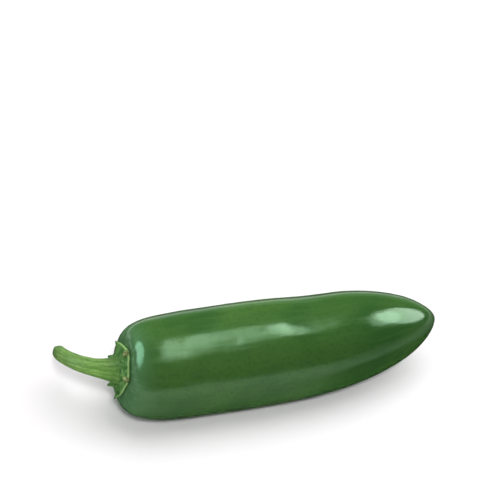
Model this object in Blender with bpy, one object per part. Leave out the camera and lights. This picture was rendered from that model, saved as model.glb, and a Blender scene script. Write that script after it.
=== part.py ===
"""A green chilli pepper (jalapeno) lying on its side, as picked, with its calyx and stem.

Frame: +X runs from the stem to the tip, +Z is up, the origin is the bottom centre of the
whole pepper's box. Lengths are millimetres here and metres in the meshes. Three closed
solids: pod, calyx and stem.
"""
import math

import bpy
import numpy as np
from mathutils import Vector
from mathutils.bvhtree import BVHTree

# ---- pod -----------------------------------------------------------------------------
POD_LENGTH = 88.5        # stem end to tip, along the pod
POD_RADIUS = 14.5        # at the thickest place
SHOULDER_LENGTH = 36.0   # the stem end rounds off over this length
SHOULDER_POWER = 5.45    # how blunt the stem end is
TAPER_LENGTH = 58.9      # the tip end narrows over this length
TAPER_POWER = 3.17       # how long the pod stays thick towards the tip
TIP_POWER = 1.61         # how blunt the tip is
SIDE_BOW = -0.3          # the middle of the pod, off the straight line
TIP_HOOK = 2.05          # the tip swings to +Y by this much
TIP_RISE = 0.75          # and up by this much
SHOULDER_RISE = 2.4      # the stem end is lifted by this much
SHOULDER_SWING = 0.6     # and swings to -Y by this much
SHOULDER_BEND = 16.0     # over this length
WAVE = 0.11              # slow side to side wave of the pod
LOBE_DEPTH = 0.012       # three shallow lobes at the shoulder, a share of the radius
LOBE_FADE = 45.0         # the lobes fade out over this length
LOBE_ANGLE = 20.0        # degrees, where the first lobe is
DENT_DEPTH = 0.05        # one soft hollow on the upper back side, a share of the radius
DENT_PLACE = 54.6        # along the pod
DENT_LENGTH = 9.0
DENT_ANGLE = 60.0        # degrees round the pod, from +Y towards +Z
DENT_SPREAD = 0.9        # radians
REST_FLAT = 0.55         # height of the underside that is pressed flat where it lies

# ---- calyx ---------------------------------------------------------------------------
CALYX_GAP = 0.35         # from the pod, measured along the stem's axis
CALYX_EDGE = 0.75        # thickness of the rim
CALYX_DIP = 0.15         # the cap is thinner between the rim and the middle
CALYX_COLLAR = 1.15      # height of the middle, where the stem grows out
COLLAR_MARGIN = 0.3      # the flat middle is wider than the root of the stem by this much
CALYX_OFFSET = 0.4       # the cap sits this far off the pod's own middle
OFFSET_ANGLE = 50.0      # degrees, in this direction
CALYX_FLAT = 0.5         # sides between the corners: 0 is round, 1 is straight
CORNERS = (              # angle in degrees, distance from the middle, size of the tooth there
    (136.0, 7.3, 1.0),
    (80.0, 8.1, 0.5),
    (22.0, 7.5, 0.5),
    (-49.0, 7.3, 1.0),
    (-102.0, 7.1, 1.0),
    (-168.0, 6.8, 1.0),
)
TOOTH_OUT = 0.5          # a tooth sticks out past its corner by this much
TOOTH_LIFT = 1.6         # and stands off the pod by this much
TOOTH_WIDTH = 7.0        # degrees, half width of a tooth

# ---- stem ----------------------------------------------------------------------------
STEM_LENGTH = 27.5
STEM_GAP = 0.3           # between the calyx and the stem
STEM_ROOT_RADIUS = 3.45  # where it leaves the calyx
STEM_FLARE = 8.0         # the root narrows to the neck over this length
STEM_NECK_RADIUS = 2.52
STEM_END_RADIUS = 1.6    # at the cut
STEM_SIDE_TURN = 108.0   # degrees that the stem turns towards +Y
STEM_DOWN_TURN = 63.0    # degrees that it turns downwards
STEM_SIDE_EASE = 0.8
STEM_DOWN_EASE = 0.9
STEM_RIDGES = 5
RIDGE_DEPTH = 0.04       # a share of the radius
CUT_ROUND = 0.35         # rounding of the cut end

# ---- mesh density ----------------------------------------------------------------------
POD_RINGS = 46
POD_SIDES = 48
CALYX_SHARES = (0.25, 0.45, 0.62, 0.76, 0.86, 0.94, 1.0)
CALYX_STEPS = (0.0, 0.07, 0.14, 0.28, 0.43, 0.57, 0.72, 0.86, 0.93)
STEM_RINGS = 22
STEM_SIDES = 20

MM = 0.001
UP = np.array([0.0, 0.0, 1.0])


def clear_scene():
    for obj in list(bpy.data.objects):
        bpy.data.objects.remove(obj, do_unlink=True)


def unit(vector):
    return vector / np.linalg.norm(vector)


def clip01(value):
    return np.clip(value, 0.0, 1.0)


def make_object(name, points, faces, colour, roughness):
    """One closed mesh object from points in millimetres, with its own material."""
    mesh = bpy.data.meshes.new(name)
    mesh.from_pydata([tuple(p * MM) for p in points], [], faces)
    mesh.validate()
    mesh.shade_smooth()
    mesh.set_sharp_from_angle(angle=math.radians(50))
    obj = bpy.data.objects.new(name, mesh)
    bpy.context.scene.collection.objects.link(obj)
    material = bpy.data.materials.new(name + "_skin")
    material.use_nodes = True
    shader = material.node_tree.nodes["Principled BSDF"]
    shader.inputs["Base Color"].default_value = (*colour, 1.0)
    shader.inputs["Roughness"].default_value = roughness
    mesh.materials.append(material)
    return obj


def ring_faces(rings, sides):
    """Quads between rings of points, with a fan to one pole point at each end.

    Point 0 is the first pole, then the rings in order, and the last point is the other.
    """
    faces = []
    last = 1 + rings * sides
    for j in range(sides):
        k = (j + 1) % sides
        faces.append((0, 1 + k, 1 + j))
        faces.append((last, last - sides + j, last - sides + k))
    for i in range(rings - 1):
        a = 1 + i * sides
        b = a + sides
        for j in range(sides):
            k = (j + 1) % sides
            faces.append((a + j, a + k, b + k, b + j))
    return faces


# ---- pod -----------------------------------------------------------------------------
def pod_radius(s):
    """Radius of the pod at the distance s from the stem end."""
    shoulder = clip01(s / SHOULDER_LENGTH)
    taper = clip01((POD_LENGTH - s) / TAPER_LENGTH)
    blunt = (1 - (1 - shoulder) ** SHOULDER_POWER) ** (1 / SHOULDER_POWER)
    point = (1 - (1 - taper) ** TAPER_POWER) ** (1 / TIP_POWER)
    return POD_RADIUS * blunt * point


def pod_centre(s):
    """Middle line of the pod: it bends a little at both ends."""
    u = s / POD_LENGTH
    tip = np.clip((u - 0.5) / 0.5, 0, None) ** 2
    bend = np.clip(1 - s / SHOULDER_BEND, 0, None) ** 2
    y = SIDE_BOW * 4 * u * (1 - u) + TIP_HOOK * tip - SHOULDER_SWING * bend
    y = y + WAVE * np.sin(2 * math.pi * (u - 0.1) / 0.55)
    z = POD_RADIUS + SHOULDER_RISE * bend + TIP_RISE * tip
    return np.stack([s, y, z], axis=-1)


def pod_frames(s):
    """Tangent, side and top directions of the middle line at each s."""
    step = 0.01
    tangent = pod_centre(s + step) - pod_centre(s - step)
    tangent /= np.linalg.norm(tangent, axis=-1, keepdims=True)
    side = np.cross(UP, tangent)
    side /= np.linalg.norm(side, axis=-1, keepdims=True)
    return tangent, side, np.cross(tangent, side)


def axis_frame(axis):
    """Side and top directions square to an axis."""
    side = unit(np.cross(UP, axis))
    return side, np.cross(axis, side)


def stem_axis():
    """Where the calyx sits on the stem end of the pod, and the way the stem leaves it."""
    end = np.array([0.0])
    axis = -pod_frames(end + 0.02)[0][0]
    side, top = axis_frame(axis)
    turn = math.radians(OFFSET_ANGLE)
    return pod_centre(end)[0] + CALYX_OFFSET * (math.cos(turn) * side + math.sin(turn) * top), axis


def even_stations(count):
    """Places along the pod, evenly spaced over its outline from pole to pole."""
    turn = np.linspace(0.0, math.pi, 4001)
    s = POD_LENGTH * (0.5 - 0.5 * np.cos(turn)) ** 1.6
    r = pod_radius(s)
    run = np.concatenate([[0.0], np.cumsum(np.hypot(np.diff(s), np.diff(r)))])
    return np.interp(np.linspace(0, run[-1], count + 2), run, s)


def pod_swell(s, angle):
    """Lobes at the shoulder and one soft hollow, as a share of the radius."""
    first = math.radians(LOBE_ANGLE)
    fade = clip01(s / 12.0) * clip01(1 - s / LOBE_FADE)
    lobes = LOBE_DEPTH * fade * np.cos(3 * (angle - first))
    away = np.angle(np.exp(1j * (angle - math.radians(DENT_ANGLE))))
    dent = np.exp(-((s - DENT_PLACE) / DENT_LENGTH) ** 2 - (away / DENT_SPREAD) ** 2)
    return 1 + lobes - DENT_DEPTH * dent


def press_flat(points):
    """The pod lies on a small flat patch: the underside is pressed up to one level."""
    floor = points[:, 2].min() + REST_FLAT
    points[:, 2] = np.maximum(points[:, 2], floor)
    return points


def pod_shape():
    stations = even_stations(POD_RINGS)
    s = stations[1:-1]
    angle = 2 * math.pi * np.arange(POD_SIDES) / POD_SIDES - math.pi / 2
    tangent, side, top = pod_frames(s)
    radius = pod_radius(s)[:, None] * pod_swell(s[:, None], angle[None, :])
    ring = side[:, None] * np.cos(angle)[None, :, None] + top[:, None] * np.sin(angle)[None, :, None]
    points = pod_centre(s)[:, None] + radius[..., None] * ring
    ends = pod_centre(np.array([0.0, POD_LENGTH]))
    points = np.concatenate([ends[:1], points.reshape(-1, 3), ends[1:]])
    return press_flat(points), ring_faces(POD_RINGS, POD_SIDES)


# ---- calyx ---------------------------------------------------------------------------
def calyx_angles():
    """Directions round the cap: evenly shared out from corner to corner, closer near each."""
    corners = sorted((math.radians(angle % 360), radius, tooth) for angle, radius, tooth in CORNERS)
    angles = []
    for i, corner in enumerate(corners):
        span = (corners[(i + 1) % len(corners)][0] - corner[0]) % (2 * math.pi)
        angles += [corner[0] + share * span for share in CALYX_STEPS]
    return np.array(angles), corners


def calyx_rim(angle, corners):
    """Distance of the rim from the middle, and the share of a tooth, at each angle."""
    rim = np.zeros_like(angle)
    tooth = np.zeros_like(angle)
    for i, (start, radius, size) in enumerate(corners):
        end, end_radius, end_size = corners[(i + 1) % len(corners)]
        span = (end - start) % (2 * math.pi)
        inside = np.mod(angle - start, 2 * math.pi)
        flat = radius * end_radius * math.sin(span)
        flat = flat / (radius * np.sin(inside) + end_radius * np.sin(span - inside))
        bow = radius + (end_radius - radius) * inside / span
        side = CALYX_FLAT * flat + (1 - CALYX_FLAT) * bow
        rim = np.where(inside < span - 1e-9, side, rim)
        away = np.degrees(np.abs(np.angle(np.exp(1j * (angle - start)))))
        tooth = np.maximum(tooth, size * clip01(1 - away / TOOTH_WIDTH))
    return rim, tooth


def calyx_top(reach, rim):
    """Thickness of the cap at a distance from the middle, flat under the stem."""
    collar = STEM_ROOT_RADIUS * (1 + RIDGE_DEPTH) + COLLAR_MARGIN
    slope = clip01((reach - collar) / (rim - collar))
    return CALYX_EDGE + (CALYX_COLLAR - CALYX_EDGE) * (1 - slope) ** 2 - CALYX_DIP * np.sin(math.pi * slope)


def seat_heights(tree, start, axis, points):
    """How far below the plane through start the pod's skin is, under each point."""
    heights = []
    for point in points:
        origin = Vector(point + axis * 20.0)
        hit = tree.ray_cast(origin, Vector(-axis))
        heights.append(20.0 - hit[3] if hit[0] is not None else 0.0)
    return np.array(heights)


def calyx_shape(pod_points, pod_faces):
    tree = BVHTree.FromPolygons([tuple(p) for p in pod_points], pod_faces)
    start, axis = stem_axis()
    side, top = axis_frame(axis)
    angle, corners = calyx_angles()
    out = np.cos(angle)[:, None] * side + np.sin(angle)[:, None] * top
    rim, tooth = calyx_rim(angle, corners)

    def ring(share, upper):
        edge = clip01((share - 0.7) / 0.3) ** 1.5 * tooth
        reach = rim * share + TOOTH_OUT * edge
        flat = start + reach[:, None] * out
        height = seat_heights(tree, start, axis, flat) + CALYX_GAP + TOOTH_LIFT * edge
        if upper:
            height = height + calyx_top(reach, rim) * (1 - 0.3 * edge)
        return flat + height[:, None] * axis

    under = [ring(share, False) for share in CALYX_SHARES]
    over = [ring(share, True) for share in reversed(CALYX_SHARES)]
    seat = seat_heights(tree, start, axis, start[None])[0]
    centre_low = start + (seat + CALYX_GAP) * axis
    centre_high = start + (seat + CALYX_GAP + CALYX_COLLAR) * axis
    points = np.concatenate([[centre_low], *under, *over, [centre_high]])
    return points, ring_faces(2 * len(CALYX_SHARES), len(angle))


# ---- stem ----------------------------------------------------------------------------
def stem_path(share):
    """The stem's middle line and its direction: it curves sideways and downwards."""
    start, axis = stem_axis()
    t = np.linspace(0, 1, 401)
    yaw = math.atan2(axis[1], -axis[0]) + math.radians(STEM_SIDE_TURN) * t ** STEM_SIDE_EASE
    pitch = math.asin(axis[2]) - math.radians(STEM_DOWN_TURN) * t ** STEM_DOWN_EASE
    along = np.stack([-np.cos(yaw) * np.cos(pitch), np.sin(yaw) * np.cos(pitch), np.sin(pitch)], axis=-1)
    root = start + (CALYX_GAP + CALYX_COLLAR + STEM_GAP) * axis
    steps = (along[1:] + along[:-1]) / 2 * STEM_LENGTH / 400
    line = root + np.concatenate([np.zeros((1, 3)), np.cumsum(steps, axis=0)])
    centre = np.stack([np.interp(share, t, line[:, i]) for i in range(3)], axis=-1)
    heading = np.stack([np.interp(share, t, along[:, i]) for i in range(3)], axis=-1)
    heading /= np.linalg.norm(heading, axis=-1, keepdims=True)
    return centre, heading


def stem_radius(share):
    """A flared root, a slow taper, and a little rounding at the cut."""
    distance = share * STEM_LENGTH
    taper = STEM_NECK_RADIUS + (STEM_END_RADIUS - STEM_NECK_RADIUS) * share
    flare = (STEM_ROOT_RADIUS - STEM_NECK_RADIUS) * clip01(1 - distance / STEM_FLARE) ** 2
    rounding = CUT_ROUND * clip01(1 - (STEM_LENGTH - distance) / CUT_ROUND)
    return taper + flare - rounding


def stem_shape():
    share = np.append(np.linspace(0, 1 - CUT_ROUND / STEM_LENGTH, STEM_RINGS - 1), 1.0)
    centre, heading = stem_path(share)
    rings = []
    side = axis_frame(heading[0])[0]
    angle = 2 * math.pi * np.arange(STEM_SIDES) / STEM_SIDES
    ridge = 1 + RIDGE_DEPTH * np.cos(STEM_RIDGES * angle)
    for i in range(STEM_RINGS):
        side = unit(side - heading[i] * np.dot(side, heading[i]))
        other = np.cross(heading[i], side)
        out = np.cos(angle)[:, None] * side + np.sin(angle)[:, None] * other
        rings.append(centre[i] + (stem_radius(share[i]) * ridge)[:, None] * out)
    points = np.concatenate([centre[:1], *rings, centre[-1:]])
    return points, ring_faces(STEM_RINGS, STEM_SIDES)


# ---- the whole pepper ------------------------------------------------------------------
def main():
    clear_scene()
    pod_points, pod_faces = pod_shape()
    calyx_points, calyx_faces = calyx_shape(pod_points, pod_faces)
    stem_points, stem_faces = stem_shape()
    everything = np.concatenate([pod_points, calyx_points, stem_points])
    low = everything.min(axis=0)
    high = everything.max(axis=0)
    origin = np.array([(low[0] + high[0]) / 2, (low[1] + high[1]) / 2, low[2]])
    make_object("pod", pod_points - origin, pod_faces, (0.045, 0.13, 0.03), 0.25)
    make_object("calyx", calyx_points - origin, calyx_faces, (0.07, 0.19, 0.05), 0.5)
    make_object("stem", stem_points - origin, stem_faces, (0.15, 0.29, 0.07), 0.5)


main()
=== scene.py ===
"""Looks of the green chilli pepper: its skin, calyx and stem, a white floor and studio light.

The CAD frame is loaded first and stays as it is. Each of its three solids is replaced by a
finer mesh of nearly the same shape, with small relief that the solids leave out. The pepper's
own sizes are millimetres in the pod's frame: x runs from the stem end to the tip, z is up, and
the pod lies near z = 0. The metres of the CAD frame are used for everything else.
"""
import math

import bpy
import numpy as np
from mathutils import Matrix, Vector, noise
from mathutils.bvhtree import BVHTree


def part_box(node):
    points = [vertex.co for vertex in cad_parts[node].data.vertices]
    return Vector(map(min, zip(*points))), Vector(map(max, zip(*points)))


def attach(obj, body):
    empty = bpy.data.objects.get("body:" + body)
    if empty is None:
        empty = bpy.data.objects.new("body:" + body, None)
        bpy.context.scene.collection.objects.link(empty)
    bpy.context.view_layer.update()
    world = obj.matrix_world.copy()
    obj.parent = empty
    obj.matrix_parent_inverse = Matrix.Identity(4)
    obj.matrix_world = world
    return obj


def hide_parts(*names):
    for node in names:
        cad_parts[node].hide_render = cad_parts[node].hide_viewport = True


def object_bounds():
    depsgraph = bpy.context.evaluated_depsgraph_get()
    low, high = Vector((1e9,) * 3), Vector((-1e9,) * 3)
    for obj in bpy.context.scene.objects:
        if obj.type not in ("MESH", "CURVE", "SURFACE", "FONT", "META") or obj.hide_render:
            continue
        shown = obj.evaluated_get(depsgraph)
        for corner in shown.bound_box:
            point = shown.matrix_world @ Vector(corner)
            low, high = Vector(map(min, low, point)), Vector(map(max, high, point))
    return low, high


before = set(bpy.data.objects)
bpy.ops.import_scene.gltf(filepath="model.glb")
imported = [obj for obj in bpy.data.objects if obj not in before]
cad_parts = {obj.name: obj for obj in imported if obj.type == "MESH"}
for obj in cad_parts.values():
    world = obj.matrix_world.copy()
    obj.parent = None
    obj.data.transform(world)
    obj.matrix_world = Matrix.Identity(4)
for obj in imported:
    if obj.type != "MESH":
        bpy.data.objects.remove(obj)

CAD_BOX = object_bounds()
MM = 0.001
UP = np.array([0.0, 0.0, 1.0])
TURN = 2 * math.pi

# ---- the pod, with the CAD's sizes ---------------------------------------------------------
POD_LENGTH = 88.5
POD_RADIUS = 14.5
SHOULDER_LENGTH = 36.0
SHOULDER_POWER = 5.45
TAPER_LENGTH = 58.9
TAPER_POWER = 3.17
TIP_POWER = 1.61
SIDE_BOW = -0.3
TIP_HOOK = 2.05
TIP_RISE = 0.75
SHOULDER_RISE = 2.4
SHOULDER_SWING = 0.6
SHOULDER_BEND = 16.0
WAVE = 0.11              # a slow wave to the side
WAVE_START = 0.1         # its start and its length, as shares of the pod's length
WAVE_LENGTH = 0.55
LOBE_COUNT = 3
LOBE_DEPTH = 0.012
LOBE_START = 12.0        # the lobes grow up to here and are gone at LOBE_FADE
LOBE_FADE = 45.0
LOBE_ANGLE = 20.0
DENT_DEPTH = 0.05
DENT_PLACE = 54.6
DENT_LENGTH = 9.0
DENT_ANGLE = 60.0
DENT_SPREAD = 0.9
REST_FLAT = 0.55

# ---- finer shape of the skin ---------------------------------------------------------------
RIPPLE = 0.10            # slow unevenness of the skin
RIPPLE_SIZE = 13.0
FINE_RIPPLE = 0.018
FINE_SIZE = 3.5
RIPPLE_START = 4.0       # both grow over this length at the stem end
RIPPLE_END = 3.0         # and fade over this length at the tip
CROWN_LENGTH = 14.0      # the crown is the blunt end round the calyx: its length
CROWN_REACH = 16.0       # and its distance from the axis of the calyx
FOLDS = 0.07             # creases that run out from under the calyx
FOLD_PLACE = 9.0         # distance from the middle of the calyx where they are deepest
FOLD_WIDTH = 2.8
FOLD_WAVES = (           # waves round the calyx, their share of the depth, and their turn
    (7, 0.6, 0.4),
    (11, 0.5, 2.1),
    (17, 0.4, 1.3),
)
PIT_DEPTH = 0.05         # one small dimple on the upper front side
PIT_PLACE = 30.5         # its place along the pod
PIT_ANGLE = 118.0        # and round it, in degrees
PIT_RADIUS = 1.1
SCAR_RADIUS = 0.8        # where the flower was, at the very tip
SCAR_START = 1.4         # above 1, so that the middle of the scar is fully marked
FAN_RADIUS = 8.0         # scale of the pale lines that fan out from the calyx
FAN_STRETCH = 0.2

# ---- the calyx: the CAD's sizes, apart from two corners, the straighter sides and the teeth --
CALYX_GAP = 0.35
CALYX_EDGE = 0.75
CALYX_DIP = 0.15
CALYX_COLLAR = 1.15
CALYX_OFFSET = 0.4
OFFSET_ANGLE = 50.0
CALYX_FLAT = 0.8
COLLAR_MARGIN = 0.3
CORNERS = (              # angle in degrees, distance from the middle, tooth size
    (136.0, 7.3, 1.0),
    (80.0, 8.3, 0.12),
    (22.0, 7.7, 0.12),
    (-49.0, 7.3, 1.0),
    (-102.0, 7.1, 1.0),
    (-168.0, 6.8, 1.0),
)
TOOTH_OUT = 0.5
TOOTH_LIFT = 1.6
TOOTH_WIDTH = 8.0
TOOTH_START = 0.7        # a tooth starts at this share of the reach
TOOTH_THIN = 0.3         # and is thinner than the cap by this share
NUBS = (                 # corky knobs near two corners: angle in degrees, distance
    (80.0, 7.35),
    (22.0, 6.8),
)
NUB_RADIUS = 0.78
NUB_HEIGHT = 0.6
RIM_START = 0.75         # from this share of the reach on,
RIM_SINK = 0.2           # the rim lies closer to the pod than the rest
RIM_THIN = 0.15          # and is thinner
RIM_WAVE = 0.12          # its outline is uneven
RIM_WAVE_SCALE = 5.0
RIM_WAVE_SIZE = 2.2
RIM_LINE = 0.94          # the pale line starts at this share of the reach
RIB_HEIGHT = 0.28        # a rib runs from the stem to each corner
RIB_WIDTH = 9.0          # degrees
RIB_START = (3.0, 4.0)   # it grows between these distances from the middle
RIB_END = (0.75, 1.0)    # and fades between these shares of the reach
SWEEP_HEIGHT = 0.55      # the cap sweeps up to the stem
SWEEP_START = 3.1
SWEEP_LENGTH = 0.75
CAP_WRINKLE = 0.13
WRINKLE_SIZE = 1.5
WRINKLE_START = (3.4, 4.2)  # wrinkles grow between these distances from the middle
ROOT_SHADE_RING = (3.2, 5.0)   # painted shade round the stem fades out between these
SEAT_RAY = 20.0          # rays that look for the pod start this far out

# ---- the stem: the CAD's sizes, apart from its root, its grooves and its cut -----------------
STEM_LENGTH = 27.5
STEM_GAP = 0.3
STEM_ROOT_RADIUS = 3.45
STEM_FLARE = 8.0
STEM_NECK_RADIUS = 2.52
STEM_END_RADIUS = 1.6
STEM_SIDE_TURN = 108.0
STEM_DOWN_TURN = 63.0
STEM_SIDE_EASE = 0.8
STEM_DOWN_EASE = 0.9
STEM_RIDGES = 5
RIDGE_DEPTH = 0.04
COLLAR_RADIUS = STEM_ROOT_RADIUS * (1 + RIDGE_DEPTH) + COLLAR_MARGIN
STEM_SINK = 0.55         # the root goes this far into the cap, so no seam shows
STEM_TWIST = 0.5         # the grooves turn by this many radians over the stem
ROOT_FLARE = 0.55        # the last bit of the root spreads out unevenly into the cap
ROOT_FLARE_LENGTH = 1.4
ROOT_UNEVEN = 0.8
ROOT_RATE = (2.6, 0.0)   # how fast its bumps change round the stem and along it
STEM_GROOVES = 0.075     # fine lengthwise grooves
GROOVE_RATE = (4.2, 0.08)
STEM_KNOTS = 0.05
KNOT_RATE = (2.0, 0.35)
ROOT_SHADE = 6.5         # painted shade: the stem is darker over this length at its root
END_SHADE = 10.0         # painted shade: and it darkens towards its cut over this length
END_TAPER = 0.25         # the stem is thinner at its cut
END_TAPER_LENGTH = 6.0
FIBRE_SCALE = 2.2        # the fibres of its material lie on a circle of this radius
CUT_RINGS = (            # share of the radius, push along the stem, how corky it is
    (0.99, -0.22, 0.10),
    (0.95, -0.08, 0.50),
    (0.88, -0.01, 0.90),
    (0.78, 0.00, 1.00),
    (0.66, -0.10, 0.75),
    (0.50, -0.16, 0.50),
    (0.30, -0.13, 0.35),
    (0.12, -0.12, 0.35),
)

# ---- mesh density --------------------------------------------------------------------------
OUTLINE_STEPS = 4000     # short steps along the pod, for measuring its outline
OUTLINE_POWER = 1.6      # they are closest at the stem end
RING_CROWDING = 0.12     # the rings are this much closer together at both ends
POD_RINGS = 230
POD_SIDES = 210
CAP_SIDES = 360
UNDER_SHARES = np.linspace(0.2, 0.97, 12)
EDGE_LEVELS = (0.06, 0.25, 0.5, 0.75, 0.94)
EDGE_ROUND = 0.035       # the edge bulges out by this share of the reach
TOP_SHARES = np.linspace(0.965, 0.1, 34)
PATH_STEPS = 800
STEM_RINGS = 170
CUT_ROOM = 3             # this many rings are left out before those of the cut
STEM_SIDES = 90


def unit(vector):
    return vector / np.linalg.norm(vector)


def clip01(value):
    return np.clip(value, 0.0, 1.0)


def rise(value, start, end):
    """0 at start and 1 at end, straight between them and level outside."""
    return clip01((value - start) / (end - start))


def bell(distance, width):
    return np.exp(-((distance / width) ** 2))


def turn_between(angle, place):
    """Angle from a place on a circle, -pi to pi."""
    return np.angle(np.exp(1j * (angle - place)))


def bumps(points, size, octaves=1):
    """Smooth noise at each point, about -1 to 1, with bumps of the given size."""
    total = np.zeros(len(points))
    for octave in range(octaves):
        scale = 2.0 ** octave / size
        values = [noise.noise(Vector(p * scale + 17.0 * octave)) for p in points]
        total += np.array(values) / 2.0 ** octave
    return total


def ring_faces(rings, sides):
    """Quads between rings of points, with a fan to one pole point at each end."""
    faces = []
    last = 1 + rings * sides
    for j in range(sides):
        k = (j + 1) % sides
        faces.append((0, 1 + k, 1 + j))
        faces.append((last, last - sides + j, last - sides + k))
    for i in range(rings - 1):
        a = 1 + i * sides
        b = a + sides
        for j in range(sides):
            k = (j + 1) % sides
            faces.append((a + j, a + k, b + k, b + j))
    return faces


def make_piece(name, points, faces, values):
    """A smooth mesh object from points in metres. values are the numbers its material reads."""
    mesh = bpy.data.meshes.new(name)
    mesh.from_pydata([tuple(p) for p in points], [], faces)
    mesh.shade_smooth()
    for key, data in values.items():
        kind, field = ("FLOAT_VECTOR", "vector") if data.ndim == 2 else ("FLOAT", "value")
        layer = mesh.attributes.new(key, kind, "POINT")
        layer.data.foreach_set(field, data.astype(np.float32).ravel())
    obj = bpy.data.objects.new(name, mesh)
    bpy.context.scene.collection.objects.link(obj)
    return obj


# ---- the pod -------------------------------------------------------------------------------
def pod_radius(s):
    """Radius of the pod at a place along it, before lobes and hollow."""
    shoulder = clip01(s / SHOULDER_LENGTH)
    taper = clip01((POD_LENGTH - s) / TAPER_LENGTH)
    blunt = (1 - (1 - shoulder) ** SHOULDER_POWER) ** (1 / SHOULDER_POWER)
    point = (1 - (1 - taper) ** TAPER_POWER) ** (1 / TIP_POWER)
    return POD_RADIUS * blunt * point


def pod_centre(s):
    """Middle of the pod at a place along it."""
    u = s / POD_LENGTH
    tip = np.clip((u - 0.5) / 0.5, 0, None) ** 2
    bend = np.clip(1 - s / SHOULDER_BEND, 0, None) ** 2
    y = SIDE_BOW * 4 * u * (1 - u) + TIP_HOOK * tip - SHOULDER_SWING * bend
    y = y + WAVE * np.sin(TURN * (u - WAVE_START) / WAVE_LENGTH)
    z = POD_RADIUS + SHOULDER_RISE * bend + TIP_RISE * tip
    return np.stack([s, y, z], axis=-1)


def pod_frames(s):
    """Unit vectors along the pod, to its side and to its top, at each place."""
    step = 0.01
    tangent = pod_centre(s + step) - pod_centre(s - step)
    tangent /= np.linalg.norm(tangent, axis=-1, keepdims=True)
    side = np.cross(UP, tangent)
    side /= np.linalg.norm(side, axis=-1, keepdims=True)
    return tangent, side, np.cross(tangent, side)


def pod_swell(s, angle):
    """Lobes near the shoulder and one soft hollow, as a factor on the radius."""
    fade = clip01(s / LOBE_START) * clip01(1 - s / LOBE_FADE)
    lobes = LOBE_DEPTH * fade * np.cos(LOBE_COUNT * (angle - math.radians(LOBE_ANGLE)))
    away = turn_between(angle, math.radians(DENT_ANGLE))
    dent = np.exp(-((s - DENT_PLACE) / DENT_LENGTH) ** 2 - (away / DENT_SPREAD) ** 2)
    return 1 + lobes - DENT_DEPTH * dent


def axis_frame(axis):
    """Unit vectors square to an axis: to its side and to its top."""
    side = unit(np.cross(UP, axis))
    return side, np.cross(axis, side)


def stem_axis():
    """Where the calyx sits on the stem end of the pod, and the way the stem leaves it."""
    end = np.array([0.0])
    axis = -pod_frames(end + 0.02)[0][0]
    side, top = axis_frame(axis)
    turn = math.radians(OFFSET_ANGLE)
    offset = math.cos(turn) * side + math.sin(turn) * top
    return pod_centre(end)[0] + CALYX_OFFSET * offset, axis


def from_calyx(points):
    """Distance of each point from the axis of the calyx, and its angle round that axis."""
    start, axis = stem_axis()
    side, top = axis_frame(axis)
    offset = points - start
    reach = np.linalg.norm(offset - np.outer(offset @ axis, axis), axis=1)
    return reach, np.arctan2(offset @ top, offset @ side)


def even_stations(count):
    """Places along the pod, evenly spaced over its outline and closer at the two ends."""
    turn = np.linspace(0.0, math.pi, OUTLINE_STEPS + 1)
    s = POD_LENGTH * (0.5 - 0.5 * np.cos(turn)) ** OUTLINE_POWER
    r = pod_radius(s)
    run = np.concatenate([[0.0], np.cumsum(np.hypot(np.diff(s), np.diff(r)))])
    even = np.linspace(0, 1, count + 2)
    close = even - RING_CROWDING * np.sin(TURN * even) / TURN
    return np.interp(close * run[-1], run, s)


def plain_skin():
    """Points of the skin without relief, their normals, and their places along and round it."""
    s = even_stations(POD_RINGS)[1:-1]
    angle = TURN * np.arange(POD_SIDES) / POD_SIDES - math.pi / 2
    tangent, side, top = pod_frames(s)
    out = side[:, None] * np.cos(angle)[None, :, None]
    out = out + top[:, None] * np.sin(angle)[None, :, None]
    radius = pod_radius(s)[:, None] * pod_swell(s[:, None], angle[None, :])
    points = pod_centre(s)[:, None] + radius[..., None] * out
    slope = np.gradient(pod_radius(s), s)
    normal = out - slope[:, None, None] * tangent[:, None]
    normal /= np.linalg.norm(normal, axis=-1, keepdims=True)
    place = np.repeat(s, POD_SIDES)
    around = np.tile(angle, POD_RINGS)
    return points.reshape(-1, 3), normal.reshape(-1, 3), place, around


def fold_pattern(angle):
    """Creases at uneven angles, as a share of their depth."""
    return sum(share * np.cos(count * angle + turn) for count, share, turn in FOLD_WAVES)


def skin_relief(points, place, around):
    """How far the skin stands out from its plain shape: ripples, folds and one dimple."""
    relief = RIPPLE * bumps(points, RIPPLE_SIZE, 2) + FINE_RIPPLE * bumps(points, FINE_SIZE)
    relief *= clip01(place / RIPPLE_START) * clip01((POD_LENGTH - place) / RIPPLE_END)
    reach, angle = from_calyx(points)
    near = rise(place, CROWN_LENGTH, 0.0)
    relief += FOLDS * near * bell(reach - FOLD_PLACE, FOLD_WIDTH) * fold_pattern(angle)
    across = turn_between(around, math.radians(PIT_ANGLE)) * POD_RADIUS
    return relief - PIT_DEPTH * bell(np.hypot(place - PIT_PLACE, across), PIT_RADIUS)


def skin_values(points, plain, place, around):
    """What the skin's material reads at each point, the two ends among them."""
    def ends_too(values, first, last):
        return np.concatenate([[first], values, [last]])

    reach, angle = from_calyx(plain)
    fan = np.stack([
        FAN_RADIUS * np.cos(angle),
        FAN_RADIUS * np.sin(angle),
        FAN_STRETCH * reach,
    ], axis=1)
    crown = rise(reach, CROWN_REACH, 0.0) * (place < CROWN_LENGTH)
    from_tip = np.linalg.norm(points - pod_centre(np.array([POD_LENGTH])), axis=1)
    return {
        "fan": np.concatenate([fan[:1], fan, fan[-1:]]),
        "along": ends_too(place, 0.0, POD_LENGTH),
        "crown": ends_too(crown, 1.0, 0.0),
        "scar": clip01(SCAR_START - from_tip / SCAR_RADIUS),
        "flow": np.stack([
            ends_too(place, 0.0, POD_LENGTH),
            ends_too(POD_RADIUS * np.cos(around), 0.0, 0.0),
            ends_too(POD_RADIUS * np.sin(around), 0.0, 0.0),
        ], axis=1),
    }


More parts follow.
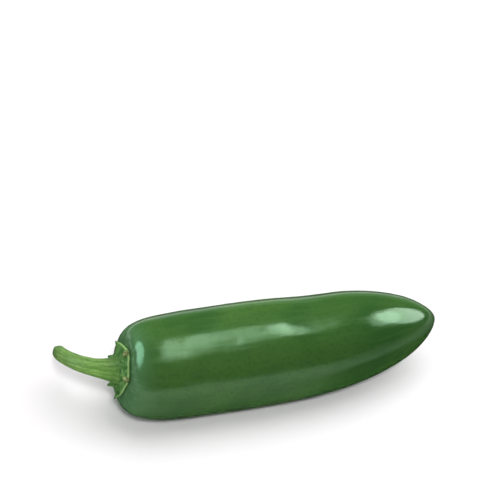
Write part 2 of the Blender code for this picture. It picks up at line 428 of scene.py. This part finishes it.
def pod_shape():
    """Points of the skin, its faces, and the values that its material reads."""
    plain, normal, place, around = plain_skin()
    ends = pod_centre(np.array([0.0, POD_LENGTH]))
    skin = plain + skin_relief(plain, place, around)[:, None] * normal
    points = np.concatenate([ends[:1], skin, ends[1:]])
    rest = points[:, 2].min() + REST_FLAT
    points[:, 2] = np.maximum(points[:, 2], rest)
    values = skin_values(points, plain, place, around)
    return points, ring_faces(POD_RINGS, POD_SIDES), values


# ---- the calyx -----------------------------------------------------------------------------
def calyx_rim(angle):
    """Distance of the rim from the middle, and the share of a tooth, at each angle."""
    corners = sorted((math.radians(a % 360), radius, size) for a, radius, size in CORNERS)
    rim = np.zeros_like(angle)
    tooth = np.zeros_like(angle)
    for i, (start, radius, size) in enumerate(corners):
        end, end_radius, _ = corners[(i + 1) % len(corners)]
        span = (end - start) % TURN
        inside = np.mod(angle - start, TURN)
        flat = radius * end_radius * math.sin(span)
        flat = flat / (radius * np.sin(inside) + end_radius * np.sin(span - inside))
        bow = radius + (end_radius - radius) * inside / span
        side = CALYX_FLAT * flat + (1 - CALYX_FLAT) * bow
        rim = np.where(inside < span - 1e-9, side, rim)
        away = np.degrees(np.abs(turn_between(angle, start)))
        tooth = np.maximum(tooth, size * clip01(1 - away / TOOTH_WIDTH))
    return rim, tooth


def rib_share(angle):
    """1 on a rib and 0 between ribs."""
    share = np.zeros_like(angle)
    for corner in CORNERS:
        away = np.degrees(turn_between(angle, math.radians(corner[0])))
        share = np.maximum(share, bell(away, RIB_WIDTH))
    return share


def nub_share(angle, reach):
    """1 in the middle of a corky knob and 0 away from it."""
    share = np.zeros_like(angle)
    for nub_angle, nub_reach in NUBS:
        away = turn_between(angle, math.radians(nub_angle))
        from_nub = np.hypot(reach * np.sin(away), reach * np.cos(away) - nub_reach)
        share = np.maximum(share, bell(from_nub, NUB_RADIUS))
    return share


def seat_heights(tree, axis, points):
    """How far the pod's skin is from each point, along the axis."""
    heights = []
    for point in points:
        hit = tree.ray_cast(Vector(point + axis * SEAT_RAY), Vector(-axis))
        heights.append(SEAT_RAY - hit[3] if hit[0] is not None else 0.0)
    return np.array(heights)


def cap_thickness(share, reach, rim, rib, edge):
    """Thickness of the cap along its axis, without the knobs."""
    slope = rise(reach, COLLAR_RADIUS, rim)
    thick = CALYX_EDGE + (CALYX_COLLAR - CALYX_EDGE) * (1 - slope) ** 2
    thick = thick - CALYX_DIP * np.sin(math.pi * slope) + RIB_HEIGHT * rib
    sweep = np.exp(-np.clip(reach - SWEEP_START, 0, None) / SWEEP_LENGTH)
    thick = thick + SWEEP_HEIGHT * sweep - RIM_THIN * rise(share, RIM_START, 1.0) ** 2
    return thick * (1 - TOOTH_THIN * edge)


def cap_marks(share, level, reach, tooth, nub, rib):
    """What the cap's material reads on a ring: rim line, cork, painted root shade, ribs."""
    pale = rise(share, RIM_LINE, 1.0) * rise(level, 0.3, 0.7)
    cork = 0.35 * tooth * rise(share, 0.85, 1.0)
    root = rise(reach, ROOT_SHADE_RING[1], ROOT_SHADE_RING[0])
    return np.stack([pale * (1 - 0.6 * tooth), np.maximum(nub, cork), root, rib], axis=1)


def calyx_shape(pod_points, pod_faces):
    """Points of the cap on this pod, its faces, and the values that its material reads."""
    tree = BVHTree.FromPolygons([tuple(p) for p in pod_points], pod_faces)
    start, axis = stem_axis()
    side, top = axis_frame(axis)
    angle = TURN * np.arange(CAP_SIDES) / CAP_SIDES
    out = np.cos(angle)[:, None] * side + np.sin(angle)[:, None] * top
    rim, tooth = calyx_rim(angle)
    circle = np.stack([np.cos(angle), np.sin(angle), 0 * angle], axis=1)
    rim = rim + RIM_WAVE * bumps(circle * RIM_WAVE_SCALE, RIM_WAVE_SIZE, 2) * (1 - tooth)
    ribs = rib_share(angle)
    rings, marks = [], []

    def add_ring(share, level):
        """One ring of points: level is 0 on the underside and 1 on top."""
        edge = rise(share, TOOTH_START, 1.0) ** 1.5 * tooth
        reach = rim * share + TOOTH_OUT * edge
        flat = start + reach[:, None] * out
        rib = ribs * rise(reach, *RIB_START) * (1 - rise(share, *RIB_END))
        nub = nub_share(angle, reach)
        thick = cap_thickness(share, reach, rim, rib, edge) + NUB_HEIGHT * nub
        height = seat_heights(tree, axis, flat) + CALYX_GAP + level * thick
        height = height + TOOTH_LIFT * edge - RIM_SINK * rise(share, RIM_START, 1.0) ** 2
        if level > 0.5:
            wrinkle = bumps(flat, WRINKLE_SIZE, 2) * rise(reach, *WRINKLE_START)
            height = height + CAP_WRINKLE * wrinkle
        rings.append(flat + height[:, None] * axis)
        marks.append(cap_marks(share, level, reach, tooth, nub, rib))

    for share in UNDER_SHARES:
        add_ring(share, 0.0)
    for level in EDGE_LEVELS:
        add_ring(1.0 - EDGE_ROUND * (2 * level - 1) ** 2, level)
    for share in TOP_SHARES:
        add_ring(share, 1.0)
    low = rings[0].mean(axis=0)
    high = rings[-1].mean(axis=0)
    marks = np.concatenate([[[0.0, 0.0, 0.0, 0.0]], *marks, [[0.0, 0.0, 1.0, 0.0]]])
    values = dict(zip(("rim", "tooth", "root", "rib"), marks.T))
    return np.concatenate([[low], *rings, [high]]), ring_faces(len(rings), CAP_SIDES), values


# ---- the stem ------------------------------------------------------------------------------
def stem_path(share):
    """Middle line of the stem and its direction, at shares of its length."""
    start, axis = stem_axis()
    t = np.linspace(0, 1, PATH_STEPS + 1)
    yaw = math.atan2(axis[1], -axis[0]) + math.radians(STEM_SIDE_TURN) * t ** STEM_SIDE_EASE
    pitch = math.asin(axis[2]) - math.radians(STEM_DOWN_TURN) * t ** STEM_DOWN_EASE
    level = np.cos(pitch)
    along = np.stack([-np.cos(yaw) * level, np.sin(yaw) * level, np.sin(pitch)], axis=-1)
    root = start + (CALYX_GAP + CALYX_COLLAR + STEM_GAP) * axis
    steps = (along[1:] + along[:-1]) / 2 * STEM_LENGTH / PATH_STEPS
    line = root + np.concatenate([np.zeros((1, 3)), np.cumsum(steps, axis=0)])
    centre = np.stack([np.interp(share, t, line[:, i]) for i in range(3)], axis=-1)
    heading = np.stack([np.interp(share, t, along[:, i]) for i in range(3)], axis=-1)
    heading /= np.linalg.norm(heading, axis=-1, keepdims=True)
    before = np.minimum(share, 0.0)[:, None] * STEM_LENGTH
    return centre + before * axis, heading


def stem_radius(share):
    """Radius of the stem at shares of its length, without ridges."""
    distance = np.clip(share, 0, None) * STEM_LENGTH
    taper = STEM_NECK_RADIUS + (STEM_END_RADIUS - STEM_NECK_RADIUS) * clip01(share)
    flare = (STEM_ROOT_RADIUS - STEM_NECK_RADIUS) * clip01(1 - distance / STEM_FLARE) ** 2
    thin = END_TAPER * clip01(1 - (STEM_LENGTH - distance) / END_TAPER_LENGTH) ** 1.5
    return taper + flare - thin


def carried_sides(heading):
    """A direction square to the stem at each ring, carried along it without twist."""
    side = axis_frame(heading[0])[0]
    sides = []
    for forward in heading:
        side = unit(side - forward * np.dot(side, forward))
        sides.append(side)
    return sides


def stem_bumps(circle, distance, rate, octaves=1):
    """Bumps on one ring. rate says how fast they change round the stem and along it."""
    where = np.column_stack([circle * rate[0], np.full(len(circle), distance * rate[1])])
    return bumps(where, 1.0, octaves)


def stem_span(angle, circle, distance, radius, size):
    """Distance of one ring from the middle line, before it is scaled by size."""
    ridge = RIDGE_DEPTH * np.cos(STEM_RIDGES * angle)
    groove = STEM_GROOVES * stem_bumps(circle, distance, GROOVE_RATE, 2)
    knot = STEM_KNOTS * stem_bumps(circle, distance, KNOT_RATE)
    spread = ROOT_FLARE * clip01(1 - distance / ROOT_FLARE_LENGTH) ** 2
    spread = spread * (1 + ROOT_UNEVEN * stem_bumps(circle, distance, ROOT_RATE, 2))
    return radius * (1 + ridge * size) + (groove + knot) * size + spread


def stem_shape():
    """Points of the stem, its faces, and the values that its material reads."""
    share = np.linspace(-STEM_SINK / STEM_LENGTH, 1, STEM_RINGS)
    centre, heading = stem_path(share)
    distance = np.clip(share, 0, None) * STEM_LENGTH
    radius = stem_radius(share)
    sides = carried_sides(heading)
    angle = TURN * np.arange(STEM_SIDES) / STEM_SIDES
    rings, flow, marks = [], [], []

    def add_ring(i, size, push, cut):
        """One ring round the stem: size is a share of its radius, and push moves it outwards."""
        other = np.cross(heading[i], sides[i])
        out = np.cos(angle)[:, None] * sides[i] + np.sin(angle)[:, None] * other
        turned = angle + STEM_TWIST * distance[i] / STEM_LENGTH
        circle = np.stack([np.cos(turned), np.sin(turned)], axis=1)
        span = stem_span(angle, circle, distance[i], radius[i], size)
        rings.append(centre[i] + push * heading[i] + (span * size)[:, None] * out)
        along = np.full(STEM_SIDES, distance[i] + push)
        flow.append(np.column_stack([along, circle * FIBRE_SCALE * size]))
        # masks of the painted shade at the root and towards the cut
        root = clip01(1 - distance[i] / ROOT_SHADE)
        end = clip01(1 - (STEM_LENGTH - distance[i]) / END_SHADE)
        marks.append(np.tile([cut, root, end], (STEM_SIDES, 1)))

    for i in range(STEM_RINGS - CUT_ROOM):
        add_ring(i, 1.0, 0.0, 0.0)
    for size, push, cut in CUT_RINGS:
        add_ring(STEM_RINGS - 1, size, push, cut)
    low = rings[0].mean(axis=0)
    high = rings[-1].mean(axis=0)
    marks = np.concatenate([[[0.0, 1.0, 0.0]], *marks, [[CUT_RINGS[-1][2], 0.0, 1.0]]])
    values = dict(zip(("cut", "root", "end"), marks.T))
    values["flow"] = np.concatenate([flow[0][:1] * [1, 0, 0], *flow, flow[-1][:1] * [1, 0, 0]])
    return np.concatenate([[low], *rings, [high]]), ring_faces(len(rings), STEM_SIDES), values


# ---- materials: colours are red, green and blue, linear ------------------------------------
class Skin:
    """A material with one Principled BSDF, and short ways to add the nodes that feed it."""

    def __init__(self, name):
        self.material = bpy.data.materials.new(name)
        self.material.use_nodes = True
        self.tree = self.material.node_tree
        self.shader = self.tree.nodes["Principled BSDF"]

    def link(self, value, socket):
        """Connects a node's output to a socket, or sets the socket to a plain value."""
        if isinstance(value, bpy.types.NodeSocket):
            self.tree.links.new(value, socket)
        else:
            socket.default_value = value

    def attribute(self, name, output="Fac"):
        node = self.tree.nodes.new("ShaderNodeAttribute")
        node.attribute_name = name
        return node.outputs[output]

    def place(self):
        """The point on the object, in metres."""
        return self.tree.nodes.new("ShaderNodeTexCoord").outputs["Object"]

    def stretched(self, vector, scale, shift=0.0):
        node = self.tree.nodes.new("ShaderNodeMapping")
        node.inputs["Scale"].default_value = scale
        node.inputs["Location"].default_value = (shift, shift, shift)
        self.link(vector, node.inputs["Vector"])
        return node.outputs["Vector"]

    def noise(self, vector, scale, detail=3.0, roughness=0.55):
        node = self.tree.nodes.new("ShaderNodeTexNoise")
        node.inputs["Scale"].default_value = scale
        node.inputs["Detail"].default_value = detail
        node.inputs["Roughness"].default_value = roughness
        self.link(vector, node.inputs["Vector"])
        return node.outputs["Fac"]

    def spots(self, vector, scale):
        """Distance from the nearest of many scattered points."""
        node = self.tree.nodes.new("ShaderNodeTexVoronoi")
        node.inputs["Scale"].default_value = scale
        self.link(vector, node.inputs["Vector"])
        return node.outputs["Distance"]

    def ramp(self, value, low, high, start=0.0, end=1.0):
        """The value from low to high, mapped to start to end, with soft ends."""
        node = self.tree.nodes.new("ShaderNodeMapRange")
        node.interpolation_type = "SMOOTHSTEP"
        self.link(value, node.inputs["Value"])
        node.inputs["From Min"].default_value = low
        node.inputs["From Max"].default_value = high
        node.inputs["To Min"].default_value = start
        node.inputs["To Max"].default_value = end
        return node.outputs["Result"]

    def math(self, kind, a, b):
        node = self.tree.nodes.new("ShaderNodeMath")
        node.operation = kind
        self.link(a, node.inputs[0])
        self.link(b, node.inputs[1])
        return node.outputs[0]

    def vector_math(self, kind, a, b=(0.0, 0.0, 0.0), output="Vector"):
        node = self.tree.nodes.new("ShaderNodeVectorMath")
        node.operation = kind
        self.link(a, node.inputs[0])
        self.link(b, node.inputs[1])
        return node.outputs[output]

    def mix(self, share, a, b):
        """Colours a and b mixed by share: a where it is 0, b where it is 1."""
        node = self.tree.nodes.new("ShaderNodeMix")
        node.data_type = "RGBA"
        self.link(share, node.inputs[0])
        for value, socket in ((a, node.inputs[6]), (b, node.inputs[7])):
            is_socket = isinstance(value, bpy.types.NodeSocket)
            self.link(value if is_socket else (*value, 1.0), socket)
        return node.outputs[2]

    def bump(self, height, distance, strength, under=None):
        """Normals of a relief, its distance in millimetres, on top of those of another."""
        node = self.tree.nodes.new("ShaderNodeBump")
        node.inputs["Distance"].default_value = distance * MM
        node.inputs["Strength"].default_value = strength
        self.link(height, node.inputs["Height"])
        if under is not None:
            self.link(under, node.inputs["Normal"])
        return node.outputs["Normal"]

    def finish(self, colour, roughness, normal, **fixed):
        """Feeds the shader, sets its fixed inputs by name, and returns the material."""
        self.link(colour, self.shader.inputs["Base Color"])
        self.link(roughness, self.shader.inputs["Roughness"])
        self.link(normal, self.shader.inputs["Normal"])
        for key, value in fixed.items():
            self.shader.inputs[key.replace("_", " ")].default_value = value
        return self.material


POD_GREEN = (0.038, 0.124, 0.025)
POD_PATCH = (0.066, 0.172, 0.034)
POD_STREAK = (0.080, 0.190, 0.045)
POD_MOTTLE = (0.028, 0.095, 0.022)
POD_SPECK = (0.16, 0.28, 0.10)
POD_TIP_PAINTED_SHADE = (0.018, 0.085, 0.015)      # painted shade: the half towards the tip is darker
# partly the skin's own paler tone round the calyx, partly painted reflection
POD_CROWN_TONE_AND_REFLECTION = (0.100, 0.255, 0.100)
POD_LINE = (0.150, 0.330, 0.145)     # lines that fan out from the calyx
POD_SCAR = (0.16, 0.12, 0.05)
POD_SHINE = (0.63, 1.0, 0.70, 1.0)   # tint of the waxy highlight


def pod_material():
    """Waxy dark green skin: slow colour patches, faint lengthwise streaks and pale specks."""
    skin = Skin("pod_skin")
    flow = skin.attribute("flow", "Vector")
    along = skin.attribute("along")
    crown = skin.attribute("crown")
    patches = skin.noise(flow, 0.055, 2.0)
    streaks = skin.noise(skin.stretched(flow, (0.10, 1.0, 1.0)), 0.9, 4.0)
    mottle = skin.noise(flow, 0.9, 4.0)
    specks = skin.spots(skin.stretched(flow, (0.8, 1.0, 1.0)), 0.85)
    fan = skin.noise(skin.attribute("fan", "Vector"), 1.3, 4.0, 0.6)
    lines = skin.math("MULTIPLY", skin.ramp(fan, 0.46, 0.66, 0.0, 0.8), skin.ramp(crown, 0.2, 0.4))
    scar = skin.ramp(skin.attribute("scar"), 0.1, 0.8, 0.0, 0.9)

    colour = skin.mix(skin.ramp(patches, 0.35, 0.65), POD_GREEN, POD_PATCH)
    colour = skin.mix(skin.ramp(streaks, 0.40, 0.68, 0.0, 0.30), colour, POD_STREAK)
    colour = skin.mix(skin.ramp(mottle, 0.45, 0.72, 0.0, 0.40), colour, POD_MOTTLE)
    colour = skin.mix(skin.ramp(specks, 0.10, 0.0, 0.0, 0.30), colour, POD_SPECK)
    # painted shade: the skin darkens towards the tip
    colour = skin.mix(skin.ramp(along, 30.0, 62.0, 0.0, 0.30), colour, POD_TIP_PAINTED_SHADE)
    # the crown round the calyx is paler and bluer: partly its own tone, partly painted reflection
    colour = skin.mix(skin.ramp(crown, 0.12, 0.36, 0.0, 0.85), colour, POD_CROWN_TONE_AND_REFLECTION)
    colour = skin.mix(lines, colour, POD_LINE)
    colour = skin.mix(scar, colour, POD_SCAR)

    rough = skin.ramp(along, 36.0, 52.0, 0.155, 0.115)
    rough = skin.math("ADD", rough, skin.ramp(streaks, 0.3, 0.7, -0.03, 0.05))
    grain = skin.noise(skin.stretched(flow, (0.5, 1.0, 1.0), 5.0), 2.4, 2.0)
    normal = skin.bump(grain, 0.012, 1.0)
    normal = skin.bump(streaks, 0.05, 0.6, normal)
    normal = skin.bump(mottle, 0.02, 0.4, normal)
    return skin.finish(colour, rough, normal, IOR=1.5, Specular_Tint=POD_SHINE)


CAP_GREEN = (0.036, 0.145, 0.024)
CAP_BLOTCH = (0.085, 0.250, 0.052)
CAP_PALE = (0.180, 0.350, 0.100)
CAP_DARK = (0.018, 0.075, 0.012)
CAP_RIB = (0.150, 0.320, 0.075)
# painted shade round the root of the stem
CAP_ROOT_PAINTED_SHADE = (0.022, 0.085, 0.014)
CAP_RIM = (0.270, 0.470, 0.160)
CAP_BROWN = (0.075, 0.085, 0.022)
CAP_CORK = (0.380, 0.440, 0.180)


def calyx_material():
    """Mottled leathery cap: pale cut-looking rim, corky brown points, painted shade round the
    stem.
    """
    skin = Skin("calyx_skin")
    place = skin.place()
    mottle = skin.noise(place, 1100.0, 4.0)
    blotch = skin.noise(place, 420.0, 3.0)
    tooth = skin.attribute("tooth")
    rib = skin.ramp(skin.attribute("rib"), 0.2, 0.9, 0.0, 0.35)
    root = skin.ramp(skin.attribute("root"), 0.1, 0.7, 0.0, 0.80)
    rim = skin.ramp(skin.attribute("rim"), 0.1, 0.7)
    rim = skin.math("MULTIPLY", rim, skin.ramp(blotch, 0.25, 0.5, 0.7, 1.0))
    cork = skin.ramp(tooth, 0.34, 0.62)
    cork = skin.math("MULTIPLY", cork, skin.ramp(mottle, 0.40, 0.54, 0.10, 0.95))

    colour = skin.mix(skin.ramp(blotch, 0.38, 0.60), CAP_GREEN, CAP_BLOTCH)
    colour = skin.mix(skin.ramp(mottle, 0.48, 0.64, 0.0, 0.80), colour, CAP_PALE)
    colour = skin.mix(skin.ramp(mottle, 0.44, 0.32, 0.0, 0.70), colour, CAP_DARK)
    colour = skin.mix(rib, colour, CAP_RIB)
    # painted shade round the root of the stem
    colour = skin.mix(root, colour, CAP_ROOT_PAINTED_SHADE)
    colour = skin.mix(rim, colour, CAP_RIM)
    colour = skin.mix(skin.ramp(tooth, 0.12, 0.34, 0.0, 0.75), colour, CAP_BROWN)
    colour = skin.mix(cork, colour, CAP_CORK)

    rough = skin.ramp(mottle, 0.3, 0.7, 0.38, 0.55)
    normal = skin.bump(mottle, 0.12, 0.7)
    normal = skin.bump(blotch, 0.15, 0.6, normal)
    return skin.finish(colour, rough, normal, IOR=1.45, Specular_IOR_Level=0.14)


STEM_GREEN = (0.082, 0.205, 0.032)
STEM_LIGHT = (0.190, 0.370, 0.075)
STEM_FIBRE = (0.320, 0.510, 0.150)
STEM_FLECK = (0.085, 0.180, 0.036)
# painted shade at the root of the stem and towards its cut
STEM_ROOT_PAINTED_SHADE = (0.035, 0.115, 0.020)
STEM_END_PAINTED_SHADE = (0.060, 0.200, 0.055)
STEM_CORK = (0.330, 0.360, 0.190)
STEM_CUT = (0.150, 0.110, 0.055)


def stem_material():
    """Fibrous pale green stem: lengthwise light and dark lines, a corky cut, painted shade at both
    ends.
    """
    skin = Skin("stem_skin")
    flow = skin.attribute("flow", "Vector")
    cut = skin.attribute("cut")
    lines = skin.noise(skin.stretched(flow, (0.06, 1.0, 1.0)), 2.2, 4.0, 0.6)
    fine = skin.noise(skin.stretched(flow, (0.12, 1.0, 1.0), 7.0), 6.0, 3.0, 0.6)
    flecks = skin.noise(skin.stretched(flow, (0.40, 1.0, 1.0), 3.0), 4.5, 3.0)
    # painted shade at the root, broken up by the flecks
    root = skin.ramp(skin.attribute("root"), 0.25, 0.95)
    root = skin.math("MULTIPLY", root, skin.ramp(flecks, 0.35, 0.65, 0.85, 0.40))
    # painted shade towards the cut end
    end = skin.ramp(skin.attribute("end"), 0.05, 0.8, 0.0, 0.80)

    colour = skin.mix(skin.ramp(lines, 0.36, 0.64), STEM_GREEN, STEM_LIGHT)
    colour = skin.mix(skin.ramp(fine, 0.50, 0.66, 0.0, 0.65), colour, STEM_FIBRE)
    colour = skin.mix(skin.ramp(flecks, 0.52, 0.64, 0.0, 0.70), colour, STEM_FLECK)
    colour = skin.mix(root, colour, STEM_ROOT_PAINTED_SHADE)
    colour = skin.mix(end, colour, STEM_END_PAINTED_SHADE)
    colour = skin.mix(skin.ramp(cut, 0.05, 0.3, 0.0, 0.9), colour, STEM_CORK)
    colour = skin.mix(skin.ramp(cut, 0.6, 0.95, 0.0, 0.8), colour, STEM_CUT)

    rough = skin.ramp(lines, 0.3, 0.7, 0.36, 0.52)
    normal = skin.bump(lines, 0.12, 0.7)
    normal = skin.bump(fine, 0.06, 0.6, normal)
    return skin.finish(colour, rough, normal, IOR=1.45, Specular_IOR_Level=0.25)


# ---- build the pepper ----------------------------------------------------------------------
def place_in_frame(points, shift):
    """Points of the pod's frame, in the metres of the CAD frame."""
    return (points - shift) * MM


def pod_shift(points):
    """The move that puts this pod where the CAD's is: same tip end, middle and underside."""
    low, high = (np.array(corner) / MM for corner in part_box("pod"))
    mine_low = points.min(axis=0)
    mine_high = points.max(axis=0)
    return np.array([
        mine_high[0] - high[0],
        (mine_low[1] + mine_high[1] - low[1] - high[1]) / 2,
        mine_low[2] - low[2],
    ])


def build_pepper():
    """Makes the three pieces. Returns them with the shift from the pod's frame."""
    pod = pod_shape()
    shift = pod_shift(pod[0])
    made = (
        ("pod", pod, pod_material()),
        ("calyx", calyx_shape(pod[0], pod[1]), calyx_material()),
        ("stem", stem_shape(), stem_material()),
    )
    pieces = []
    for node, (points, faces, values), material in made:
        piece = make_piece(node + "_surface", place_in_frame(points, shift), faces, values)
        piece.data.materials.append(material)
        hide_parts(node)
        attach(piece, "root")
        pieces.append(piece)
    return shift, pieces


shift, pepper = build_pepper()

# ---- camera --------------------------------------------------------------------------------
CAMERA_AZIMUTH = -12.735
CAMERA_ELEVATION = 42.0
CAMERA_DISTANCE = 0.485
CAMERA_AIM = (44.848, 41.051, 14.5)  # in the pod's frame
CAMERA_LENS = 120.0
CAMERA_SENSOR = 36.0


def direction(azimuth, elevation):
    """Unit vector towards an azimuth, from -Y towards +X, and an elevation, in degrees."""
    a = math.radians(azimuth)
    e = math.radians(elevation)
    return np.array([math.sin(a) * math.cos(e), -math.cos(a) * math.cos(e), math.sin(e)])


def look(obj, place, target):
    """Puts a camera or a light at a place, facing a target."""
    obj.location = place
    obj.rotation_euler = (Vector(target) - Vector(place)).to_track_quat("-Z", "Y").to_euler()


def add_camera():
    data = bpy.data.cameras.new("camera")
    data.lens = CAMERA_LENS
    data.sensor_width = CAMERA_SENSOR
    camera = bpy.data.objects.new("camera", data)
    bpy.context.scene.collection.objects.link(camera)
    aim = place_in_frame(np.array(CAMERA_AIM), shift)
    look(camera, aim + CAMERA_DISTANCE * direction(CAMERA_AZIMUTH, CAMERA_ELEVATION), aim)
    bpy.context.scene.camera = camera


# ---- floor and light -----------------------------------------------------------------------
WHITE = (1.0, 1.0, 1.0)
FLOOR_RADIUS = 0.26
FLOOR_SIDES = 128
FLOOR_WHITE = (0.878, 0.856, 0.874, 1.0)
CARD_LIFT = 0.0002
CARD_GLOW = 1.22
CARD_SHADE = (           # dim patches of painted shade round the pepper: middle x and y, half sizes, depth, softness
    (0.045, -0.014, 0.027, 0.027, 0.90, 0.25),
    (0.150, -0.090, 0.090, 0.085, 0.60, 0.45),
    (0.010, 0.038, 0.125, 0.075, 0.95, 0.50),
    (-0.004, 0.000, 0.054, 0.019, 0.88, 0.40),
    (-0.095, 0.020, 0.050, 0.070, 0.70, 0.40),
)
AIM_HEIGHT = 0.015       # the softboxes face a point this high over the floor
WORLD_SEEN = 1.05        # strength of the world to the camera
WORLD_MIRRORED = 0.06    # to glossy rays
WORLD_SOFT = 0.27        # and to all others


def add_disc(name, radius, height):
    """A flat disc round the origin."""
    turns = TURN * np.arange(FLOOR_SIDES) / FLOOR_SIDES
    points = [(radius * math.cos(t), radius * math.sin(t), height) for t in turns]
    mesh = bpy.data.meshes.new(name)
    mesh.from_pydata(points, [], [tuple(range(FLOOR_SIDES))])
    disc = bpy.data.objects.new(name, mesh)
    bpy.context.scene.collection.objects.link(disc)
    return disc


def add_floor():
    """A matt white sheet that glossy rays don't see."""
    floor = add_disc("floor", FLOOR_RADIUS, CAD_BOX[0][2])
    floor.visible_glossy = False
    skin = Skin("paper")
    skin.shader.inputs["Base Color"].default_value = FLOOR_WHITE
    skin.shader.inputs["Roughness"].default_value = 0.9
    skin.shader.inputs["Specular IOR Level"].default_value = 0.0
    floor.data.materials.append(skin.material)
    return floor


def card_material():
    """A white glow, dimmed by soft patches of painted shade."""
    skin = Skin("card_glow")
    place = skin.place()
    glow = CARD_GLOW
    for x, y, half_x, half_y, depth, soft in CARD_SHADE:
        offset = skin.vector_math("SUBTRACT", place, (x, y, 0.0))
        scaled = skin.vector_math("MULTIPLY", offset, (1 / half_x, 1 / half_y, 0.0))
        away = skin.vector_math("LENGTH", scaled, output="Value")
        # painted shade: each patch dims the mirrored floor
        dim = skin.ramp(away, 1 - soft, 1 + soft, 1 - depth, 1.0)
        glow = skin.math("MULTIPLY", glow, dim)
    tree = skin.tree
    light = tree.nodes.new("ShaderNodeEmission")
    skin.link(glow, light.inputs["Strength"])
    tree.links.new(light.outputs[0], tree.nodes["Material Output"].inputs["Surface"])
    tree.nodes.remove(skin.shader)
    return skin.material


def add_card():
    """What glossy rays see in place of the floor: a glowing white sheet with dim patches of
    painted shade.
    """
    card = add_disc("card", FLOOR_RADIUS, CAD_BOX[0][2] + CARD_LIFT)
    card.visible_camera = False
    card.visible_diffuse = False
    card.visible_transmission = False
    card.visible_shadow = False
    card.data.materials.append(card_material())


def add_softbox(name, azimuth, elevation, distance, size, power,
                colour=WHITE, shift=(0.0, 0.0), roll=0.0):
    """A light that shows only in glossy reflections, facing the pepper."""
    data = bpy.data.lights.new(name, "AREA")
    data.shape = "ELLIPSE"
    data.size, data.size_y = size
    data.energy = power * size[0] * size[1] * math.pi ** 2 / 4
    data.color = colour
    light = bpy.data.objects.new(name, data)
    bpy.context.scene.collection.objects.link(light)
    aim = np.array([shift[0], shift[1], AIM_HEIGHT])
    look(light, aim + distance * direction(azimuth, elevation), aim)
    light.rotation_euler.rotate_axis("Z", math.radians(roll))
    light.visible_camera = False
    light.visible_diffuse = False
    light.visible_transmission = False
    data.use_shadow = False


def add_sun(name, azimuth, elevation, angle, power, receivers):
    """Soft light from far away that falls only on the receivers, and isn't mirrored."""
    data = bpy.data.lights.new(name, "SUN")
    data.energy = power
    data.angle = math.radians(angle)
    light = bpy.data.objects.new(name, data)
    bpy.context.scene.collection.objects.link(light)
    look(light, direction(azimuth, elevation), (0.0, 0.0, 0.0))
    light.visible_glossy = False
    light.visible_camera = False
    group = bpy.data.collections.new(name)
    for receiver in receivers:
        group.objects.link(receiver)
    light.light_linking.receiver_collection = group


def add_world():
    """White to the camera, dark to glossy rays, and a soft even light for the rest."""
    world = bpy.data.worlds.new("studio")
    bpy.context.scene.world = world
    world.use_nodes = True
    tree = world.node_tree
    path = tree.nodes.new("ShaderNodeLightPath")
    ground = tree.nodes["Background"]
    ground.inputs["Color"].default_value = (*WHITE, 1.0)
    level = tree.nodes.new("ShaderNodeMix")
    level.inputs[2].default_value = WORLD_SOFT
    level.inputs[3].default_value = WORLD_MIRRORED
    tree.links.new(path.outputs["Is Glossy Ray"], level.inputs[0])
    seen = tree.nodes.new("ShaderNodeMix")
    seen.inputs[3].default_value = WORLD_SEEN
    tree.links.new(level.outputs[0], seen.inputs[2])
    tree.links.new(path.outputs["Is Camera Ray"], seen.inputs[0])
    tree.links.new(seen.outputs[0], ground.inputs["Strength"])


add_camera()
floor = add_floor()
add_card()

# Light on the whole pepper, then more on its stem and on its calyx
add_sun("key", 150.0, 64.0, 62.0, 3.0, pepper)
add_sun("stem_fill", -8.0, 12.0, 40.0, 1.62, pepper[2:])
add_sun("calyx_fill", -60.0, 10.0, 40.0, 0.6, pepper[1:2])

# Light on the floor, which shapes the shadow
add_sun("floor_near", 0.0, 53.0, 9.0, 1.50, [floor])
add_sun("floor_high", 103.0, 69.0, 54.0, 1.75, [floor])
add_sun("floor_right", 72.0, 32.0, 44.0, 0.30, [floor])
add_sun("floor_left", -80.0, 34.0, 44.0, 0.25, [floor])

# What the skin mirrors: two strips overhead, and wide boxes to the sides and behind
add_softbox("window_left", 0.0, 89.0, 0.9, (0.115, 0.86), 6.8, shift=(0.044, -0.10), roll=-6.0)
add_softbox("window_right", 0.0, 89.0, 0.9, (0.12, 0.50), 12.0, shift=(0.243, 0.01), roll=5.0)
add_softbox("right", 95.0, 29.0, 0.9, (0.62, 0.70), 8.2, roll=38.0)
add_softbox("right_high", 84.0, 44.0, 0.9, (0.56, 0.30), 4.0, roll=10.0)
add_softbox("back", 155.0, 2.5, 0.8, (0.95, 0.25), 0.40, (0.60, 1.0, 0.62))
add_softbox("left", -104.0, 32.0, 0.8, (0.64, 0.58), 6.7, (0.75, 1.0, 1.0))
add_world()
bpy.context.scene.view_settings.view_transform = "Standard"
